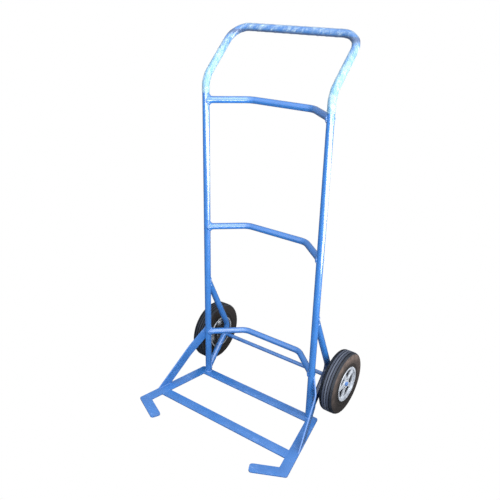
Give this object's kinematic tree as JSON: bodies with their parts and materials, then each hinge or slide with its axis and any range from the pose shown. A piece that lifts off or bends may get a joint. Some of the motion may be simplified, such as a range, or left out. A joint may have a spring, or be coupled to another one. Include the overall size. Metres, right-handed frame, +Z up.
{
  "type": "hand truck",
  "caption": "Upright two-wheeled hand truck of welded blue tube, with a bent-back handle loop, bowed rungs, an open toe frame with hooks and rubber-tyred wheels.",
  "frame": {"origin": "on the floor, midway between the stiles and in their plane, on the underside of the back bar of the toe frame", "axes": "+X to the right, +Y to the back (the wheel side; the toe hooks are at -Y), +Z up"},
  "size_m": [0.7028, 0.619, 1.4075],
  "materials": {
    "blue_paint": "gloss, brushed on",
    "clear_film": "wrinkled clear stretch film",
    "tyre_rubber": "dusty black rubber",
    "cast_hub": "satin cast metal",
    "bush_plastic": "matt moulded",
    "zinc_steel": "bright zinc"
  },
  "bodies": {
    "frame": {"frame_tube": "blue_paint", "upper_rung": "blue_paint", "middle_rung": "blue_paint", "lower_rung": "blue_paint", "left_axle_brace": "blue_paint", "right_axle_brace": "blue_paint", "axle": "blue_paint", "back_bar": "blue_paint", "front_bar": "blue_paint", "left_side_bar": "blue_paint", "right_side_bar": "blue_paint", "left_toe_hook": "blue_paint", "right_toe_hook": "blue_paint", "left_flat_brace": "blue_paint", "right_flat_brace": "blue_paint", "handle_film": "clear_film", "left_inner_washer": "zinc_steel", "left_outer_washer": "zinc_steel", "right_inner_washer": "zinc_steel", "right_outer_washer": "zinc_steel", "left_split_pin": "zinc_steel", "right_split_pin": "zinc_steel"},
    "left_wheel": {"left_tyre": "tyre_rubber", "left_hub": "cast_hub", "left_inner_bush": "bush_plastic", "left_outer_bush": "bush_plastic"},
    "right_wheel": {"right_tyre": "tyre_rubber", "right_hub": "cast_hub", "right_inner_bush": "bush_plastic", "right_outer_bush": "bush_plastic"}
  },
  "joints": [
    {"name": "left_wheel_spin", "type": "hinge", "parent": "frame", "child": "left_wheel", "pos_m": [-0.3111, 0.1263, 0.125], "axis": [1, 0, 0], "continuous": true},
    {"name": "right_wheel_spin", "type": "hinge", "parent": "frame", "child": "right_wheel", "pos_m": [0.3111, 0.1263, 0.125], "axis": [1, 0, 0], "continuous": true}
  ]
}
